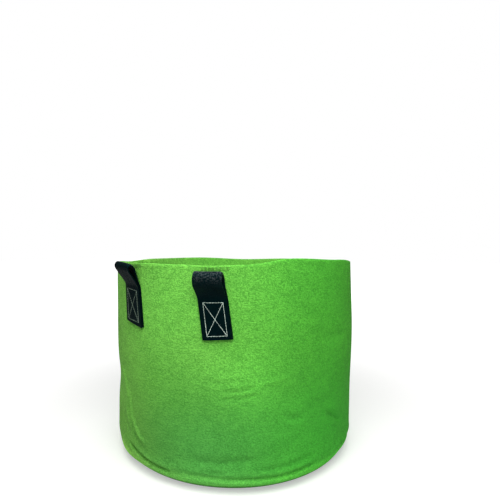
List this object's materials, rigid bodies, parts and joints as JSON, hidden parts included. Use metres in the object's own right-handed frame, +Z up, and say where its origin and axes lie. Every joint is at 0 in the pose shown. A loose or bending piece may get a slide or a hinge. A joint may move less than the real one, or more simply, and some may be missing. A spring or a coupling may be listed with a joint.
{
  "type": "fabric grow bag",
  "caption": "Round felt grow bag with an open top, a raw rim and webbing grab loops sewn on with boxed crosses; holds soil and a plant.",
  "frame": {"origin": "on the floor, on the axis of the bag", "axes": "+Z up; -Y is the front, midway between the two front loops; the side seam is on the -X side"},
  "size_m": [0.406, 0.4359, 0.304],
  "materials": {
    "green_felt": "matte needle-punched felt",
    "black_webbing": "matte woven webbing",
    "pale_thread": "polyester sewing thread",
    "green_thread": "polyester sewing thread"
  },
  "bodies": {
    "bag": {"wall_panel": "green_felt", "base_disc": "green_felt", "side_seam_thread": "green_thread", "base_seam_thread": "green_thread", "front_left_sewn_ends": "black_webbing", "front_left_box_stitch": "pale_thread", "front_left_rim_tack": "green_thread", "front_right_sewn_ends": "black_webbing", "front_right_box_stitch": "pale_thread", "front_right_rim_tack": "green_thread", "back_right_sewn_ends": "black_webbing", "back_right_box_stitch": "pale_thread", "back_right_rim_tack": "green_thread", "back_left_sewn_ends": "black_webbing", "back_left_box_stitch": "pale_thread", "back_left_rim_tack": "green_thread"},
    "front_left_loop": {"front_left_loop": "black_webbing"},
    "front_right_loop": {"front_right_loop": "black_webbing"},
    "back_right_loop": {"back_right_loop": "black_webbing"},
    "back_left_loop": {"back_left_loop": "black_webbing"}
  },
  "joints": [
    {"name": "front_left_hinge", "type": "hinge", "parent": "bag", "child": "front_left_loop", "pos_m": [-0.07118, -0.19216, 0.26689], "axis": [0.9375, -0.332, 0.1045], "range_deg": [0, 105], "stiffness_Nm_per_rad": 0.05},
    {"name": "front_right_hinge", "type": "hinge", "parent": "bag", "child": "front_right_loop", "pos_m": [0.06539, -0.19421, 0.26002], "axis": [0.9366, 0.3317, 0.1132], "range_deg": [0, 105], "stiffness_Nm_per_rad": 0.05},
    {"name": "back_right_hinge", "type": "hinge", "parent": "bag", "child": "back_right_loop", "pos_m": [0.07164, 0.192, 0.26151], "axis": [-0.9356, 0.3313, 0.1219], "range_deg": [0, 105], "stiffness_Nm_per_rad": 0.05},
    {"name": "back_left_hinge", "type": "hinge", "parent": "bag", "child": "back_left_loop", "pos_m": [-0.06608, 0.19397, 0.25895], "axis": [-0.9391, -0.3325, 0.0872], "range_deg": [0, 105], "stiffness_Nm_per_rad": 0.05}
  ]
}
